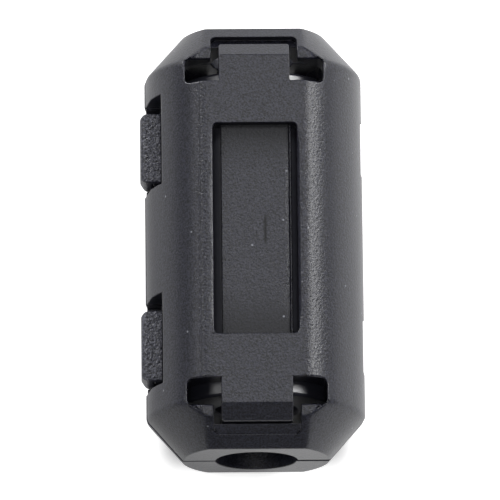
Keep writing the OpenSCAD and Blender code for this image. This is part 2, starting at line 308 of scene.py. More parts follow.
def case_outline(lower):
    """The plan outline of a half, anticlockwise: end face, hinge side, end face, latch side."""
    hinge, latch = [], []
    hinge_edge, latch_edge = rim_x(CASE_RADIUS, 1), rim_x(CASE_RADIUS, -1)
    for y in PAIR_PLACES:
        recess = dome(CASE_RADIUS, STRAP_RECESS_TOP)
        half = STRAP_RECESS_HALF_LENGTH
        hinge += [(hinge_edge, y - half), (recess, y - half), (recess, y + half), (hinge_edge, y + half)]
        if lower:
            outside = -dome(CASE_RADIUS, NOTCH_FLOOR)
            inside, half = -dome(CASE_RADIUS, LATCH_SEAT_HEIGHT), LATCH_HALF_LENGTH + LATCH_SIDE_GAP
        else:
            outside = -NOTCH_BACK
            inside, half = -CATCH_TIP, LATCH_HALF_LENGTH
        latch += [(latch_edge, y - NOTCH_HALF_LENGTH), (outside, y - NOTCH_HALF_LENGTH), (outside, y - half),
                  (inside, y - half), (inside, y + half), (outside, y + half),
                  (outside, y + NOTCH_HALF_LENGTH), (latch_edge, y + NOTCH_HALF_LENGTH)]
    ends = ROWS[ROWS >= SOFT_START - SLACK]
    right = np.stack([rim_x(outer_radius(ends), 1), ends], 1)
    left = np.stack([rim_x(outer_radius(ends), -1), ends], 1)
    rim = END_RADIUS * sines(44, 76, 4)
    corner = dome(END_RADIUS, END_FACE_HEIGHT)
    face = across_at(np.concatenate([-rim[::-1], [-corner], hole_stations(), [corner], rim]), CASE_END)
    return dense(np.concatenate([face * FLIP_Y, right[::-1] * FLIP_Y, hinge, right,
                                 face[::-1], left[::-1], latch[::-1], left * FLIP_Y]), closed=True)


def slot_outline():
    """The U-shaped slot round a tongue: two arms across the flat, a stem, and back round the tongue."""
    cut, half, corner = CUT_CORNER, TONGUE_HALF_WIDTH, TONGUE_CORNER
    arm = np.concatenate([[(half, SLOT_INNER)], arc(SLOT_HALF_WIDTH - cut, SLOT_INNER + cut, cut, -90, 0),
                          arc(SLOT_HALF_WIDTH - cut, SLOT_OUTER - cut, cut, 0, 90),
                          [(STEM_HALF_WIDTH, SLOT_OUTER), (STEM_HALF_WIDTH, HOLLOW_END)]])
    tongue = np.array([(half, HOOK_FACE), (half, TONGUE_TIP - corner), (half - corner, TONGUE_TIP)])
    return dense(np.concatenate([arm, across_at(hole_stations()[::-1], HOLLOW_END), arm[::-1] * FLIP_X,
                                 tongue * FLIP_X, tongue[::-1]]), FINE_STEP, closed=True)


def window_outline(inner):
    """The slot between the leaf spring, whose side is at inner, and one side of the window."""
    width, length, cut = WINDOW_HALF_WIDTH, WINDOW_HALF_LENGTH, WINDOW_CORNER
    return dense(np.concatenate([[(inner, -length)], arc(width - cut, cut - length, cut, -90, 0),
                                 arc(width - cut, length - cut, cut, 0, 90), [(inner, length)]]),
                 closed=True)


def batches(points, size=1000):
    """The points in parts small enough to be measured against every edge at once."""
    return np.array_split(points, max(1, len(points) // size))


def within(points, a, b):
    """Even-odd test: a point is inside if the border edges a-b cross its row an odd number of times."""
    rise = np.where(b[:, 1] == a[:, 1], 1.0, b[:, 1] - a[:, 1])
    found = []
    for part in batches(points):
        row = part[:, None]
        crossed = (a[:, 1] > row[..., 1]) != (b[:, 1] > row[..., 1])
        at = a[:, 0] + (row[..., 1] - a[:, 1]) / rise * (b[:, 0] - a[:, 0])
        found.append(np.sum(crossed & (row[..., 0] < at), 1) % 2 == 1)
    return np.concatenate(found)


def gap_to(points, a, b):
    """Distance from each point to the nearest of the edges a-b."""
    along = b - a
    found = []
    for part in batches(points):
        from_a = part[:, None] - a
        share = np.clip((from_a * along).sum(2) / np.maximum((along ** 2).sum(1), SLACK ** 2), 0, 1)
        found.append(np.sqrt(((from_a - share[..., None] * along) ** 2).sum(2)).min(1))
    return np.concatenate(found)


LATTICE_CLEARANCE = 0.21


def triangulate(borders, lines, lattice, unroll, roll):
    """Delaunay triangles of a plan with holes, in an unrolled metric where the curved side is flat.
    The borders and lines become edges, and the lattice points that stand clear of them are added."""
    sizes = [len(path) for path in borders + lines]
    fixed = unroll(np.concatenate(borders + lines))
    first = np.delete(np.arange(len(fixed)), np.cumsum(sizes) - 1)
    edges = np.column_stack([first, first + 1])
    border = edges[first < sum(len(path) for path in borders)]
    a, b = fixed[border[:, 0]], fixed[border[:, 1]]
    grid = unroll(lattice)
    grid = grid[within(grid, a, b)]
    clear = gap_to(grid, *fixed[edges].transpose(1, 0, 2)) > LATTICE_CLEARANCE
    flat = np.concatenate([fixed, grid[clear]])
    cut = delaunay_2d_cdt([Vector(p) for p in flat], edges.tolist(), [], 0, SLACK)
    flat, corners = np.array([tuple(p) for p in cut[0]]), np.array(cut[2])
    corners = corners[within(flat[corners].mean(1), a, b)]
    p, q, r = flat[corners].transpose(1, 0, 2)
    turned = (q - p)[:, 0] * (r - p)[:, 1] < (q - p)[:, 1] * (r - p)[:, 0]
    corners[turned] = corners[turned][:, ::-1]
    return roll(flat), corners


def raised(plan, corners, zone_of, height_of):
    """Lifts plan triangles to their zone's height, joins the zones with upright cliffs, and lists the
    border edges. Faces are arrays of four corners, in which a triangle repeats its last one."""
    middle = plan[corners].mean(1)
    zone = zone_of(*middle.T)

    def lift(index, its_zone):
        return np.column_stack([plan[index], height_of(its_zone, *plan[index].T)])

    faces = [np.stack([lift(corners[:, k], zone) for k in (0, 1, 2, 2)], 1)]
    edges = np.concatenate([corners[:, [0, 1]], corners[:, [1, 2]], corners[:, [2, 0]]])
    owner = np.tile(np.arange(len(corners)), 3)
    code = edges[:, 0] * len(plan) + edges[:, 1]
    order = np.argsort(code)
    back = edges[:, 1] * len(plan) + edges[:, 0]
    place = np.minimum(np.searchsorted(code[order], back), len(code) - 1)
    paired = code[order][place] == back
    other = owner[order][place]
    cliff = paired & (edges[:, 0] < edges[:, 1]) & (zone[owner] != zone[other])
    a, b = edges[cliff].T
    left, right = zone[owner[cliff]], zone[other[cliff]]
    faces.append(np.stack([lift(a, right), lift(b, right), lift(b, left), lift(a, left)], 1))
    a, b = plan[edges[~paired]].transpose(1, 0, 2)
    return faces, a, b, middle[owner[~paired]]


def outside_plane(p):
    """Unrolls plan points onto the turned outer form: across, the arc length at the full radius."""
    share = np.clip(p[:, 0] / outer_radius(p[:, 1]), -1, 1)
    return np.stack([CASE_RADIUS * np.arcsin(share), p[:, 1]], 1)


def outside_plan(p):
    """Rolls unrolled points back to the plan."""
    return np.stack([outer_radius(p[:, 1]) * np.sin(p[:, 0] / CASE_RADIUS), p[:, 1]], 1)


QUARTER_ARC = CAVITY_RADIUS * math.pi / 2


def inside_plane(p):
    """Unrolls plan points onto the room's arc, and beyond it straight on along the parting face."""
    x, reach = p[:, 0], np.abs(p[:, 0])
    curved = CAVITY_RADIUS * np.arcsin(np.clip(reach / CAVITY_RADIUS, 0, 1))
    straight = QUARTER_ARC + reach - CAVITY_RADIUS
    return np.stack([np.sign(x) * np.where(reach < CAVITY_RADIUS, curved, straight), p[:, 1]], 1)


def inside_plan(p):
    """Rolls points unrolled from the inside back to the plan."""
    x, reach = p[:, 0], np.abs(p[:, 0])
    curved = CAVITY_RADIUS * np.sin(reach / CAVITY_RADIUS)
    straight = reach - QUARTER_ARC + CAVITY_RADIUS
    return np.stack([np.sign(x) * np.where(reach < QUARTER_ARC, curved, straight), p[:, 1]], 1)


def across(half_width, y, step):
    """A line across the plan, as far to one side as to the other."""
    return dense([(-half_width, y), (half_width, y)], step)


def outside_creases(lower):
    """Lines where the outer surface bends: the spring's edges and worn bands, the flats' edges in five
    strips that round them, the cups round the tongues' stems, and the tongues' own bends."""
    creases = [dense([(SPRING_HALF_WIDTH, -WINDOW_HALF_LENGTH), (SPRING_HALF_WIDTH, WINDOW_HALF_LENGTH)])]
    along = np.linspace(-WEAR_END, WEAR_END, 40)
    level = np.full(len(along), WINDOW_HALF_WIDTH)
    bands = [-WINDOW_HALF_WIDTH - worn_width(along), SPRING_HALF_WIDTH - worn_width(along)]
    bands += [level + share * SOFT_RIM_WIDTH for share in (1 / 3, 2 / 3)]
    creases += [np.stack([band, along], 1) for band in bands]
    flat_edge = dome(CASE_RADIUS, FLAT_HEIGHT)
    slope = np.concatenate([[SLOT_OUTER - SLOPE_LEAD], ROWS[ROWS > SLOT_OUTER]])
    slope_level = np.interp(slope, [SLOPE_START, CASE_END], [BRIDGE_HEIGHT, END_FACE_HEIGHT])
    slope_edge = np.sqrt(outer_radius(slope) ** 2 - slope_level ** 2)
    blend_width = CREASE_BLEND / math.tan(math.asin(flat_edge / CASE_RADIUS))
    for beside in blend_width * np.linspace(-1, 1, 6):
        flat_line = dense([(flat_edge + beside, -SLOT_INNER), (flat_edge + beside, SLOT_INNER)], COARSE_STEP)
        slope_line = np.stack([slope_edge + beside, slope], 1)
        creases += [flat_line, flat_line * FLIP_X, slope_line, slope_line * FLIP_X,
                    slope_line * FLIP_Y, -slope_line]
    cut = CUT_CORNER
    cup_corner = arc(STEM_HALF_WIDTH - cut, STEM_END - cut, cut, 0, 90)
    cup = np.concatenate([[(STEM_HALF_WIDTH, HOLLOW_END)], cup_corner])
    for end in (1, FLIP_Y):
        creases += [dense(np.concatenate([cup, cup[::-1] * FLIP_X]), FINE_STEP) * end,
                    across(TONGUE_HALF_WIDTH, TONGUE_FLAT_END, FINE_STEP) * end]
    if not lower:
        creases += [dense([(-NOTCH_BACK, y - LATCH_HALF_LENGTH), (-NOTCH_BACK, y + LATCH_HALF_LENGTH)])
                    for y in PAIR_PLACES]
    return creases


def inside_lines(rows, wall_rows, lower):
    """Lines where the inner surface bends: the room's and the hole's edges on the parting face, the
    steps at the end walls, the hooks' faces, and the recesses for the straps and latches."""
    lines = []
    shoulder = np.concatenate([[STEM_HALF_WIDTH], HOLLOW_RIM * sines(42, 72, 6)])
    for side in (-1, 1):
        end_edge = rim_x(outer_radius(np.array([HOLLOW_END])), side)
        step = across_at(np.concatenate([side * shoulder, [rim_x(HOLLOW_RIM, side)], end_edge]), HOLLOW_END)
        hole_edge = np.stack([np.full(len(wall_rows), rim_x(HOLE_RADIUS, side)), wall_rows], 1)
        lines += [np.stack([rim_x(inner_radius(rows), side), rows], 1),
                  step, step * FLIP_Y, hole_edge, hole_edge * FLIP_Y]
    hook_line = across(TONGUE_HALF_WIDTH, HOOK_FACE, FINE_STEP)
    lines += [hook_line, hook_line * FLIP_Y]
    recesses = [(dome(CASE_RADIUS, STRAP_RECESS_TOP), STRAP_RECESS_BACK, STRAP_RECESS_HALF_LENGTH)]
    if lower:
        recesses += [(-dome(CASE_RADIUS, NOTCH_FLOOR), -NOTCH_BACK, NOTCH_HALF_LENGTH)]
    for mouth, back, half in recesses:
        for y in PAIR_PLACES:
            walls = [(mouth, y - half), (back, y - half), (back, y + half), (mouth, y + half)]
            lines += [dense(walls, RECESS_STEP)]
    return lines


def arched(radius, rows, even):
    """Lattice points at even angles round the arc that a turned form has at each row."""
    return np.stack([np.outer(radius, even).ravel(), np.repeat(rows, len(even))], 1)


def half_case(lower):
    """Faces of one half: an outer and an inner height field over one plan, joined by upright walls."""
    slot, window = slot_outline(), window_outline(SPRING_HALF_WIDTH)
    borders = [case_outline(lower), slot, slot[::-1] * FLIP_Y,
               window_outline(LEDGE_HALF_WIDTH), window[::-1] * FLIP_X]
    spring_sides = (-SPRING_HALF_WIDTH, SPRING_HALF_WIDTH, LEDGE_HALF_WIDTH)
    spring_ends = [dense([(x, y) for x in spring_sides], FINE_STEP)
                   for y in (-WINDOW_HALF_LENGTH, WINDOW_HALF_LENGTH)]
    lattice = arched(outer_radius(ROWS), ROWS, sines(-86, 86, 4))
    plan, corners = triangulate(borders, outside_creases(lower) + spring_ends, lattice,
                                outside_plane, outside_plan)
    top, a, b, owner = raised(plan, corners, lambda x, y: top_zone(x, y, lower), top_height)

    rows = both_ways(np.concatenate([np.linspace(0, 10, 11), [HOLLOW_START, 10.8, HOLLOW_END]]))
    wall_rows = np.linspace(HOLLOW_END, CASE_END, 4)
    even = sines(-84, 84, 6)
    hole = arched(np.full(len(wall_rows), HOLE_RADIUS), wall_rows, even)
    lattice = np.concatenate([arched(inner_radius(rows), rows, even), hole, hole * FLIP_Y])
    same_rim = [np.stack(pair) for pair in zip(a, b)]
    plan, corners = triangulate(same_rim, inside_lines(rows, wall_rows, lower) + spring_ends, lattice,
                                inside_plane, inside_plan)
    under, *_ = raised(plan, corners, lambda x, y: under_zone(x, y, lower), under_height)

    inward = owner - (a + b) / 2
    probe = (a + b) / 2 + inward / np.linalg.norm(inward, axis=1)[:, None] * TINY
    high, low = top_zone(*probe.T, lower), under_zone(*probe.T, lower)
    wall = [np.column_stack([point, height(zone, *point.T)]) for point, zone, height in (
        (a, low, under_height), (b, low, under_height), (b, high, top_height), (a, high, top_height))]
    return np.concatenate(top + [face[:, ::-1] for face in under] + [np.stack(wall, 1)])


def split_uprights(bm):
    """Splits an upright edge wherever the corner of another level lies on it, so that walls share edges."""
    columns = {}
    for v in bm.verts:
        columns.setdefault((round(v.co.x, 3), round(v.co.y, 3)), []).append(v)
    for column in columns.values():
        levels = sorted(v.co.z for v in column)
        for edge in dict.fromkeys(e for v in column for e in v.link_edges if e.other_vert(v) in column):
            low, high = sorted(edge.verts, key=lambda v: v.co.z)
            for level in levels:
                if low.co.z + TINY < level < high.co.z - TINY:
                    share = (level - low.co.z) / (high.co.z - low.co.z)
                    edge, low = bmesh.utils.edge_split(edge, low, share)
                    edge = next(e for e in low.link_edges if e.other_vert(low) is high)


# Corners within a fifth of a micron are one, and edges that turn by more than 33 degrees are rounded.
WELD = 2e-4
SHARP_ANGLE = math.radians(33)
LEVEL_NORMAL = 0.99


def finished_piece(name, faces, body, replaced, material, rounding, flat_ends=()):
    """Welds loose faces, given in millimetres, into a closed mesh, rounds its sharp edges by a radius
    that rounding gives for their midpoints, scales it to metres, and makes it a piece on a body."""
    mesh = bpy.data.meshes.new(name)
    count = len(faces)
    mesh.from_pydata(faces.reshape(-1, 3).tolist(), [], np.arange(4 * count).reshape(count, 4).tolist())
    bm = bmesh.new()
    bm.from_mesh(mesh)
    bmesh.ops.remove_doubles(bm, verts=bm.verts, dist=WELD)
    split_uprights(bm)
    bmesh.ops.remove_doubles(bm, verts=bm.verts, dist=WELD)
    bmesh.ops.dissolve_degenerate(bm, edges=bm.edges, dist=WELD / 2)
    open_ends = [edge for edge in bm.edges if edge.is_boundary]
    bmesh.ops.holes_fill(bm, edges=open_ends, sides=0)
    for end in flat_ends:
        flush = [face for face in bm.faces
                 if abs(face.calc_center_median().y - end) < WELD and abs(face.normal.y) > LEVEL_NORMAL]
        bmesh.ops.dissolve_faces(bm, faces=flush)
    bmesh.ops.recalc_face_normals(bm, faces=bm.faces)
    weight = bm.edges.layers.float.new("bevel_weight_edge")
    sharp = [edge for edge in bm.edges if edge.calc_face_angle(0) > SHARP_ANGLE]
    middles = np.array([(edge.verts[0].co + edge.verts[1].co) / 2 for edge in sharp])
    radii = rounding(*middles.T) * np.ones(len(sharp))
    for edge, share in zip(sharp, radii / radii.max()):
        edge[weight] = share
    bm.to_mesh(mesh)
    bm.free()
    mesh.shade_smooth()
    piece = bpy.data.objects.new(name, mesh)
    bpy.context.scene.collection.objects.link(piece)
    bevel = piece.modifiers.new("rounded_edges", "BEVEL")
    bevel.width = radii.max()
    bevel.segments = 3
    bevel.limit_method = "WEIGHT"
    bevel.use_clamp_overlap = False
    bevel.harden_normals = True
    rounded = bpy.data.meshes.new_from_object(piece.evaluated_get(bpy.context.evaluated_depsgraph_get()))
    piece.modifiers.clear()
    piece.data = rounded
    bpy.data.meshes.remove(mesh)
    rounded.name = name
    rounded.transform(Matrix.Scale(MM, 4))
    rounded.materials.append(material)
    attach(piece, body)
    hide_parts(replaced)
    return piece


def linear(hex_colour):
    """Turns an sRGB hex colour into linear red, green, blue and alpha."""
    channels = [int(hex_colour[i:i + 2], 16) / 255 for i in (1, 3, 5)]
    return [c / 12.92 if c <= 0.04045 else ((c + 0.055) / 1.055) ** 2.4 for c in channels] + [1.0]


def cleared(owner):
    """The node tree of a new material or world, emptied of the nodes it starts with."""
    owner.use_nodes = True
    owner.node_tree.nodes.clear()
    return owner.node_tree


def node(tree, kind, settings=None, **inputs):
    """Adds a shader node with its settings, and links or sets its inputs by name, or by place as in _0."""
    made = tree.nodes.new(kind)
    for key, value in (settings or {}).items():
        setattr(made, key, value)
    for key, value in inputs.items():
        socket = made.inputs[int(key[1:])] if key[0] == "_" else made.inputs[key.replace("_", " ")]
        if isinstance(value, bpy.types.Node):
            value = value.outputs[0]
        if isinstance(value, bpy.types.NodeSocket):
            tree.links.new(value, socket)
        else:
            socket.default_value = value
    return made


SMOOTH = {"interpolation_type": "SMOOTHSTEP"}

# The flats lie level within about 23 degrees and are eroded; past 37 degrees the sides are stoned.
ERODED_LEVEL = 0.92
STONED_LEVEL = 0.8
GRAIN_DEPTH = 0.048 * MM
STONED_RELIEF = 0.35
ERODED_ROUGHNESS = 0.42
STONED_ROUGHNESS = 0.32
FLECK_STOPS = (0.33, 0.67)
FLECKS_TO_GRAIN = 1.4

# Pale specks in the colour, a sixth of a millimetre wide, drawn a little larger than the real ones
# so that they show.
SPECK_SPACING = 1.4 * MM
SPECK_RADIUS = 0.08 * MM
SPECK_COLOUR = "#7b7d85"

# The line where two parts of the mould meet: a broken groove, with about two breaks to a millimetre.
WITNESS_HALF_WIDTH = 0.09 * MM
WITNESS_DEPTH = 0.12 * MM
WITNESS_BREAKS = 2.2 / MM
WITNESS_BROKEN = (0.36, 0.56)

# The leaf springs: painted shade, darker and rougher, over their ends, and a dark streak near the middle.
SPRING_SLACK = 0.1 * MM
END_SHADE_LENGTH = 3.2
END_SHADE_SHARE = 0.75
DARK_STREAK_X = 0.56
DARK_STREAK_HALF_WIDTH = 0.15
DARK_STREAK_HALF_LENGTH = 1.1
SPRING_SHADE_AND_STREAK_ROUGHNESS = 0.72
SPRING_SHADE_AND_STREAK_COLOUR = "#05060a"


def moulded_nylon(name, grain, relief, shades, witness=None):
    """Nylon 66 dyed black all through, with the blue cast of its dye, and flecked between two shades. It
    is moulded in steel, whose flats are spark eroded to a grain in metres and a relief, and so it lies
    rough and a little speckled there; the sides are stoned smoother and keep a soft sheen. On a piece
    with a witness line, whose X is given in metres, the line is drawn, and the leaf springs get painted
    shade, darker and rougher, over their ends, and a dark, rough streak near their middle."""
    nylon = bpy.data.materials.new(name)
    tree = cleared(nylon)
    space = node(tree, "ShaderNodeTexCoord")
    place = space.outputs["Object"]
    facing = node(tree, "ShaderNodeSeparateXYZ", Vector=space.outputs["Normal"])
    level = node(tree, "ShaderNodeMath", {"operation": "ABSOLUTE"}, _0=facing.outputs["Z"])
    eroded = node(tree, "ShaderNodeMapRange", Value=level, From_Min=STONED_LEVEL, From_Max=ERODED_LEVEL)
    grit = node(tree, "ShaderNodeTexNoise", Vector=place, Scale=1 / grain, Detail=2.0)
    depth = node(tree, "ShaderNodeMapRange", Value=eroded, To_Min=STONED_RELIEF, To_Max=relief)
    bump = node(tree, "ShaderNodeBump", Strength=depth, Distance=GRAIN_DEPTH, Height=grit)
    rough = node(tree, "ShaderNodeMapRange", Value=eroded, To_Min=STONED_ROUGHNESS, To_Max=ERODED_ROUGHNESS)
    if witness:
        side = node(tree, "ShaderNodeSeparateXYZ", Vector=place).outputs["X"]
        size = node(tree, "ShaderNodeVectorMath", {"operation": "ABSOLUTE"}, _0=place)
        size = node(tree, "ShaderNodeSeparateXYZ", Vector=size)
        reach = size.outputs["Y"]
        at_spring = node(tree, "ShaderNodeMath", {"operation": "COMPARE"}, _0=size.outputs["Z"],
                         _1=SPRING_TOP * MM, _2=SPRING_SLACK)
        narrow = node(tree, "ShaderNodeMath", {"operation": "LESS_THAN"}, _0=size.outputs["X"],
                      _1=WINDOW_HALF_WIDTH * MM)
        short = node(tree, "ShaderNodeMath", {"operation": "LESS_THAN"}, _0=reach,
                     _1=WINDOW_HALF_LENGTH * MM)
        # Painted shade over the spring's ends, growing towards the window's ends.
        painted_end_shade = node(tree, "ShaderNodeMapRange", SMOOTH, Value=reach, To_Max=END_SHADE_SHARE,
                    From_Min=(WINDOW_HALF_LENGTH - END_SHADE_LENGTH) * MM, From_Max=WINDOW_HALF_LENGTH * MM)
        # A dark, rough streak along the spring near its middle.
        beside = node(tree, "ShaderNodeMath", {"operation": "SUBTRACT"}, _0=side, _1=DARK_STREAK_X * MM)
        beside = node(tree, "ShaderNodeMath", {"operation": "ABSOLUTE"}, _0=beside)
        dark_streak = node(tree, "ShaderNodeMapRange", SMOOTH, Value=beside,
                      From_Min=DARK_STREAK_HALF_WIDTH * MM, From_Max=0.0)
        dark_streak = node(tree, "ShaderNodeMapRange", SMOOTH, Value=reach, To_Max=dark_streak,
                      From_Min=DARK_STREAK_HALF_LENGTH * MM, From_Max=DARK_STREAK_HALF_LENGTH / 2 * MM)
        spring_shade_and_streak = node(tree, "ShaderNodeMath", {"operation": "MAXIMUM"}, _0=painted_end_shade, _1=dark_streak)
        for mask in (at_spring, narrow, short):
            spring_shade_and_streak = node(tree, "ShaderNodeMath", {"operation": "MULTIPLY"}, _0=spring_shade_and_streak, _1=mask)
        rough = node(tree, "ShaderNodeMapRange", Value=spring_shade_and_streak, To_Min=rough, To_Max=SPRING_SHADE_AND_STREAK_ROUGHNESS)
        off_line = node(tree, "ShaderNodeMath", {"operation": "SUBTRACT"}, _0=side, _1=witness)
        off_line = node(tree, "ShaderNodeMath", {"operation": "ABSOLUTE"}, _0=off_line)
        groove = node(tree, "ShaderNodeMapRange", SMOOTH, Value=off_line,
                      From_Min=0.0, From_Max=WITNESS_HALF_WIDTH)
        wander = node(tree, "ShaderNodeTexNoise", Vector=place, Scale=WITNESS_BREAKS, Detail=3.0)
        broken = node(tree, "ShaderNodeMapRange", Value=wander, To_Max=eroded,
                      From_Min=WITNESS_BROKEN[0], From_Max=WITNESS_BROKEN[1])
        bump = node(tree, "ShaderNodeBump", Strength=broken, Distance=WITNESS_DEPTH, Height=groove,
                    Normal=bump)
    fleck = node(tree, "ShaderNodeTexNoise", Vector=place, Scale=FLECKS_TO_GRAIN / grain, Detail=1.0)
    colour = node(tree, "ShaderNodeValToRGB", Fac=fleck)
    for stop, at, shade in zip(colour.color_ramp.elements, FLECK_STOPS, shades):
        stop.position = at
        stop.color = linear(shade)
    # The painted shade at the springs' ends and the streak darken the colour.
    if witness:
        colour = node(tree, "ShaderNodeMix", {"data_type": "RGBA"}, Factor=spring_shade_and_streak, _6=colour,
                      _7=linear(SPRING_SHADE_AND_STREAK_COLOUR)).outputs["Result"]
    grains = node(tree, "ShaderNodeTexVoronoi", Vector=place, Scale=1 / SPECK_SPACING)
    speck = node(tree, "ShaderNodeMapRange", Value=grains, From_Min=SPECK_RADIUS / SPECK_SPACING,
                 From_Max=SPECK_RADIUS / SPECK_SPACING / 2)
    shown = node(tree, "ShaderNodeMix", {"data_type": "RGBA"}, Factor=speck, _6=colour,
                 _7=linear(SPECK_COLOUR))
    surface = node(tree, "ShaderNodeBsdfPrincipled", Base_Color=shown.outputs["Result"], Roughness=rough,
                   IOR=1.53, Normal=bump)
    node(tree, "ShaderNodeOutputMaterial", Surface=surface)
    return nylon


CASE_GRAIN = 0.14 * MM
CASE_RELIEF = 1.0
WITNESS_X = -3.2 * MM
nylon = moulded_nylon("moulded_nylon", CASE_GRAIN, CASE_RELIEF, ("#08090f", "#2f303c"), WITNESS_X)
WINDOW_ROUNDING = 0.08
RIM_ROUNDING = 0.12
CRISP_ROUNDING = 0.06
OUTER_RIM_LEVEL = 4.35
NEAR = 0.1


def case_rounding(x, y, z):
    """Radius by place: rims of the end slots and latch notches are worn round, one long rim of the
    window a little, and the rest of the case keeps the mould's crisp edges."""
    wide, along, high = np.abs(x), np.abs(y), np.abs(z)
    at_window = ((high > SPRING_TOP + NEAR) & (along < WINDOW_HALF_LENGTH - NEAR / 2)
                 & (x > 0) & (wide < SLOT_HALF_WIDTH))
    at_slot = ((high > OUTER_RIM_LEVEL) & (wide > STEM_HALF_WIDTH + NEAR)
               & (along > SLOT_INNER - NEAR) & (along < TONGUE_TIP))
    at_notch = (np.abs(x + NOTCH_BACK) < NEAR / 2) & (high > BRIDGE_HEIGHT / 2)
    return np.where(at_window, WINDOW_ROUNDING, np.where(at_slot | at_notch, RIM_ROUNDING, CRISP_ROUNDING))


# The closed halves don't quite line up, and the lower one stands out a little on the latches' side.
MISMATCH = 0.05
END_FACES = (-CASE_END, -HOLLOW_END, HOLLOW_END, CASE_END)
for body, lower in (("upper", False), ("lower", True)):
    faces = half_case(lower)
    if lower:
        faces = faces * [1, 1, -1] - [MISMATCH, 0, 0]
    shell = finished_piece(body + "_case", faces, body, body + "_shell", nylon, case_rounding, END_FACES)

# --- Ferrite halves --------------------------------------------------------------------------------
# A ferrite tube pressed and sintered in two halves, with ground faces where they meet and a small
# chamfer on each rim. Each half is held in its shell by the two tongues and the leaf spring.
CORE_RADIUS = 4.7
CORE_END = 9.57
CORE_CHAMFER = 0.15
CORE_HALF_GAP = 0.01
CORE_ROUNDING = 0.04
CORE_STEP = 0.8


def carried(sections):
    """Side faces of a solid whose closed section is carried through stations. Sections is an array of
    stations by section points by three coordinates, and the two ends are left open to be filled."""
    a, b = sections[:-1], sections[1:]
    return np.stack([a, np.roll(a, -1, 1), np.roll(b, -1, 1), b], 2).reshape(-1, 4, 3)


# Nickel-zinc ferrite, a blue-black ceramic pressed from powder, sintered and tumbled. Its high index
# gives it a sharper, more metallic shine than the nylon, broken up by pores, which are drawn several
# times their real size so that they show.
PORE = 0.15 * MM
PORE_DEPTH = 0.01 * MM
PORE_ROUGHNESS = (0.36, 0.5)
ferrite = bpy.data.materials.new("sintered_ferrite")
tree = cleared(ferrite)
place = node(tree, "ShaderNodeTexCoord").outputs["Object"]
pores = node(tree, "ShaderNodeTexNoise", Vector=place, Scale=1 / PORE, Detail=2.0)
bump = node(tree, "ShaderNodeBump", Strength=0.3, Distance=PORE_DEPTH, Height=pores)
rough = node(tree, "ShaderNodeMapRange", Value=pores, To_Min=PORE_ROUGHNESS[0], To_Max=PORE_ROUGHNESS[1])
surface = node(tree, "ShaderNodeBsdfPrincipled", Base_Color=linear("#1c1d29"), Roughness=rough, IOR=2.3,
               Normal=bump)
node(tree, "ShaderNodeOutputMaterial", Surface=surface)
rim = [(HOLE_RADIUS, CORE_END - CORE_CHAMFER), (HOLE_RADIUS + CORE_CHAMFER, CORE_END),
       (CORE_RADIUS - CORE_CHAMFER, CORE_END), (CORE_RADIUS, CORE_END - CORE_CHAMFER)]
profile = np.array(rim + [(r, -y) for r, y in rim[::-1]])
profile = dense(np.concatenate([profile, profile[:1]]), CORE_STEP)[:-1]
turn = np.radians(np.linspace(0, 180, 49))
for name, up in (("upper", 1), ("lower", -1)):
    radius, along = profile[None, :, 0], np.broadcast_to(profile[:, 1], (len(turn), len(profile)))
    level = np.maximum(radius * np.sin(turn)[:, None], CORE_HALF_GAP)
    tube = np.stack([radius * np.cos(turn)[:, None], along, up * level], 2)
    core = finished_piece(name + "_core", carried(tube), name, name + "_ferrite", ferrite,
                          lambda x, y, z: CORE_ROUNDING)

# --- Hinge straps ----------------------------------------------------------------------------------
# Two thin straps that join the halves along +X and bend along both of their edges when the case is
# opened. They are of the same moulded nylon, and each rounded edge sits in a recess of its shell.
STRAP_HALF_WIDTH = 1.45
STRAP_THICKNESS = 0.35
STRAP_ROUNDING = 0.05
FOLD_X = 6.03
FOLD_HEIGHT = 0.8
half_turn = np.radians(np.arange(0, 181, 15))
over = np.stack([FOLD_X + STRAP_THICKNESS / 2 * np.cos(half_turn), 0 * half_turn,
                 FOLD_HEIGHT + STRAP_THICKNESS / 2 * np.sin(half_turn)], 1)
section = np.concatenate([over, over[::-1] * [1, 1, -1]])
for place, name in zip(PAIR_PLACES, ("front", "rear")):
    ends = np.array([[0, place - STRAP_HALF_WIDTH, 0], [0, place + STRAP_HALF_WIDTH, 0]])
    strap = finished_piece(name + "_strap", carried(section + ends[:, None]), "straps",
                           name + "_hinge_strap", nylon, lambda x, y, z: STRAP_ROUNDING)

# --- Latches ---------------------------------------------------------------------------------------
# Two springy arms of the same nylon, moulded with the lower half and standing up from it. Each bends
# outwards at its root, and its barb hooks over a catch in a notch of the upper half.
ARM_INNER = 5.9
ARM_OUTER = 6.62
ARM_BEND_DEPTH = 0.65
BARB_TIP = 5.4
BARB_UNDER = 0.65
LATCH_TOP = 1.15
LATCH_FILLET = 0.4
LATCH_CORNER = 0.24
PROUD_DEPTH = 0.4
FLUSH_DEPTH = 1.75
ROOT_DEPTH = 2.4
ROOT_RADIUS = 0.35
ARM_ROUNDING = 0.09
BARB_ROUNDING = 0.04
BARB_BACK = (LATCH_FILLET - ARM_OUTER - BARB_TIP) / 2 + NEAR / 2

# The arm's section: the barb, the inner face, the round root in its seat, the case's own curve, and
# the proud outer face with a fillet at its top. Its ends are drawn in by the corner's size.
root = np.array([dome(CASE_RADIUS - ROOT_RADIUS, ROOT_DEPTH), -ROOT_DEPTH])
lean = np.array([ARM_INNER, -ARM_BEND_DEPTH]) - root
touch = math.atan2(root[1], root[0])
turn = np.linspace(math.atan2(lean[1], lean[0]) + math.pi / 2, touch + 2 * math.pi, 12)
root_arc = root + ROOT_RADIUS * np.stack([np.cos(turn), np.sin(turn)], 1)
turn = np.linspace(touch, -math.asin(FLUSH_DEPTH / CASE_RADIUS), 4)[1:]
case_arc = CASE_RADIUS * np.stack([np.cos(turn), np.sin(turn)], 1)
quarter_turn = np.radians(np.linspace(0, 90, 7))
barb_and_face = [(BARB_TIP, LATCH_TOP), (BARB_TIP, BARB_UNDER), (ARM_INNER, BARB_UNDER),
                 (ARM_INNER, -ARM_BEND_DEPTH)]
stations = []
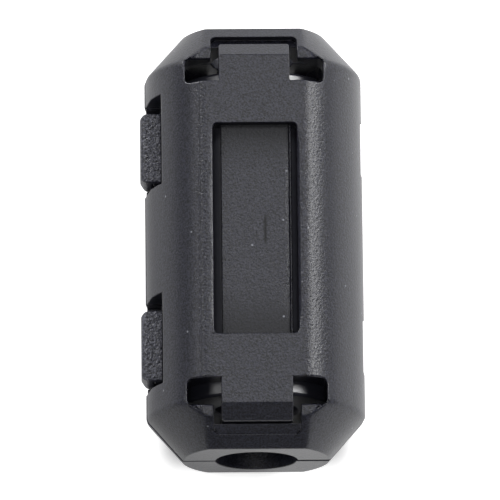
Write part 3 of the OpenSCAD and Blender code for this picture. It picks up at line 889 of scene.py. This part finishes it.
for share, pull in ((-1, LATCH_CORNER), (-1, 0), (1, 0), (1, LATCH_CORNER)):
    y = share * (LATCH_HALF_LENGTH - (0 if pull else LATCH_CORNER))
    fall = pull / (ARM_OUTER - case_arc[-1, 0]) * (FLUSH_DEPTH - PROUD_DEPTH)
    radius = LATCH_FILLET - pull
    fillet = np.stack([ARM_OUTER - LATCH_FILLET + radius * np.cos(quarter_turn),
                       LATCH_TOP - radius + radius * np.sin(quarter_turn)], 1)
    section = np.concatenate([
        barb_and_face, root_arc, case_arc, [(ARM_OUTER - pull, -PROUD_DEPTH - fall)], fillet])
    stations.append(np.stack([-section[:, 0], np.full(len(section), y), section[:, 1]], 1))


def latch_rounding(x, y, z):
    """The arm is well rounded all round, and the barb that slides behind the catch less so."""
    return np.where((x > BARB_BACK) & (z > 0), BARB_ROUNDING, ARM_ROUNDING)


# The same nylon from a part of the mould that is eroded coarser and deeper, for grip. Its flecks
# are paler than the case's, painted light that brightens the arms where the case shades them.
ARM_GRAIN = 0.18 * MM
ARM_RELIEF = 3.0
latch_nylon = moulded_nylon("coarse_moulded_nylon", ARM_GRAIN, ARM_RELIEF, ("#101118", "#52535e"))
for place, name in zip(PAIR_PLACES, ("front_latch", "rear_latch")):
    faces = carried(np.array(stations) + [0, place, 0])
    latch = finished_piece(name + "_arm", faces, name, name, latch_nylon, latch_rounding)

# --- Floor -----------------------------------------------------------------------------------------
# A sheet of matt white card under the bead. Clear of the bead it also glows for the camera, so that it
# looks plain white, and close to the bead it is lit by the lamps alone and keeps the bead's shadow.
FLOOR_HALF = 0.6
SHADOW_INSET = 2 * MM
SHADOW_REACH = 2 * MM
GLOW = 0.8
MIRRORED_WAY = (1, -0.3, 0)
MOST_MIRRORED = 0.52
floor_z = min(cad_box[0][2], -FLAT_HEIGHT * MM)
mesh = bpy.data.meshes.new("floor")
corners = [(-1, -1), (1, -1), (1, 1), (-1, 1)]
mesh.from_pydata([(x * FLOOR_HALF, y * FLOOR_HALF, floor_z) for x, y in corners], [], [(0, 1, 2, 3)])
floor = bpy.data.objects.new("floor", mesh)
bpy.context.scene.collection.objects.link(floor)


def seen_share(tree, mirrored_share):
    """One for rays that look at the background or pass through to it, the share given for those that
    mirror it, and none for the rest."""
    path = node(tree, "ShaderNodeLightPath")
    mirrored = node(tree, "ShaderNodeMath", {"operation": "MULTIPLY"}, _0=path.outputs["Is Glossy Ray"],
                    _1=mirrored_share)
    through = node(tree, "ShaderNodeMath", {"operation": "MAXIMUM"}, _0=path.outputs["Is Transmission Ray"],
                   _1=mirrored)
    return node(tree, "ShaderNodeMath", {"operation": "MAXIMUM"}, _0=path.outputs["Is Camera Ray"],
                _1=through)


# Uncoated card scatters light evenly. Its glow grows with the distance from the bead's plan, which is
# a box set in from the case's own and taller than any height. The bead mirrors the glow more towards
# the hinge side than towards the latches.
card = bpy.data.materials.new("white_card")
tree = cleared(card)
place = node(tree, "ShaderNodeTexCoord").outputs["Object"]
reach = node(tree, "ShaderNodeVectorMath", {"operation": "ABSOLUTE"}, _0=place)
inset_plan = (CASE_RADIUS * MM - SHADOW_INSET, CASE_END * MM - SHADOW_INSET, 1)
past = node(tree, "ShaderNodeVectorMath", {"operation": "SUBTRACT"}, _0=reach, _1=inset_plan)
clear = node(tree, "ShaderNodeVectorMath", {"operation": "MAXIMUM"}, _0=past, _1=(0, 0, 0))
away = node(tree, "ShaderNodeVectorMath", {"operation": "LENGTH"}, _0=clear).outputs["Value"]
strength = node(tree, "ShaderNodeMapRange", SMOOTH, Value=away, From_Min=0.0, From_Max=SHADOW_REACH,
                To_Min=0.0, To_Max=GLOW)
diffuse = node(tree, "ShaderNodeBsdfDiffuse", Color=linear("#f2f2f2"))
glow = node(tree, "ShaderNodeEmission", Color=(1, 1, 1, 1), Strength=strength)
sideways = node(tree, "ShaderNodeVectorMath", {"operation": "DOT_PRODUCT"}, _0=place, _1=MIRRORED_WAY)
mirrored = node(tree, "ShaderNodeMapRange", Value=sideways.outputs["Value"], From_Min=-CASE_RADIUS * MM,
                From_Max=CASE_RADIUS * MM, To_Min=0.0, To_Max=MOST_MIRRORED)
dark = node(tree, "ShaderNodeEmission", Color=(0, 0, 0, 1), Strength=0.0)
shown = node(tree, "ShaderNodeMixShader", _0=seen_share(tree, mirrored), _1=dark, _2=glow)
surface = node(tree, "ShaderNodeAddShader", _0=diffuse, _1=shown)
node(tree, "ShaderNodeOutputMaterial", Surface=surface)
mesh.materials.append(card)

# --- Lamps and world -------------------------------------------------------------------------------
# Six square softboxes half a metre away, the strongest low on the right and behind on the left, in a
# dim white room. The room looks plain white to the camera, and the bead mirrors a little of that.
WALL_MIRRORED = 0.03
ROOM_LIGHT = 0.03
LAMP_DISTANCE = 0.5
LAMP_SIDE = 0.15
LAMPS = (("key_softbox", 105, 38, 1.12), ("right_softbox", 120, 22, 0.75),
         ("rear_left_softbox", -135, 20, 1.55), ("rear_softbox", 180, 65, 0.62),
         ("top_softbox", 0, 75, 0.43), ("left_softbox", -90, 32, 0.28))
world = bpy.data.worlds.new("studio")
bpy.context.scene.world = world
tree = cleared(world)
room = node(tree, "ShaderNodeBackground", Color=(1, 1, 1, 1), Strength=ROOM_LIGHT)
white = node(tree, "ShaderNodeBackground", Color=(1, 1, 1, 1), Strength=1.0)
shown = node(tree, "ShaderNodeMixShader", _0=seen_share(tree, WALL_MIRRORED), _1=room, _2=white)
node(tree, "ShaderNodeOutputWorld", Surface=shown)
for name, azimuth, elevation, power in LAMPS:
    lamp = bpy.data.lights.new(name, "AREA")
    lamp.size = LAMP_SIDE
    lamp.energy = power
    lamp_object = bpy.data.objects.new(name, lamp)
    turn, rise = math.radians(azimuth), math.radians(elevation)
    away = Vector((math.sin(turn) * math.cos(rise), -math.cos(turn) * math.cos(rise), math.sin(rise)))
    lamp_object.location = away * LAMP_DISTANCE
    lamp_object.rotation_mode = "QUATERNION"
    lamp_object.rotation_quaternion = away.to_track_quat("Z", "Y")
    bpy.context.scene.collection.objects.link(lamp_object)

# --- Camera ----------------------------------------------------------------------------------------
# A long lens high above the front end, which sees the bead nearly in plan. Its turn is an azimuth, a
# tilt from straight down and a small roll, and its shift centres the bead in view.
CAMERA_AZIMUTH = -3.232
CAMERA_ELEVATION = 76.073
CAMERA_ROLL = 2.753
CAMERA_DISTANCE = 0.400
CAMERA_SHIFT = (-0.000265, 0.000031)
camera = bpy.data.cameras.new("camera")
camera.lens = 495.5
camera.sensor_width = 36
camera.clip_end = 10
turn = (Matrix.Rotation(math.radians(CAMERA_AZIMUTH), 4, "Z")
        @ Matrix.Rotation(math.radians(90 - CAMERA_ELEVATION), 4, "X")
        @ Matrix.Rotation(math.radians(CAMERA_ROLL), 4, "Z"))
eye = turn @ Vector((*CAMERA_SHIFT, CAMERA_DISTANCE))
camera_object = bpy.data.objects.new("camera", camera)
camera_object.matrix_world = Matrix.Translation(eye) @ turn
bpy.context.scene.collection.objects.link(camera_object)
bpy.context.scene.camera = camera_object
bpy.context.scene.view_settings.view_transform = "Standard"
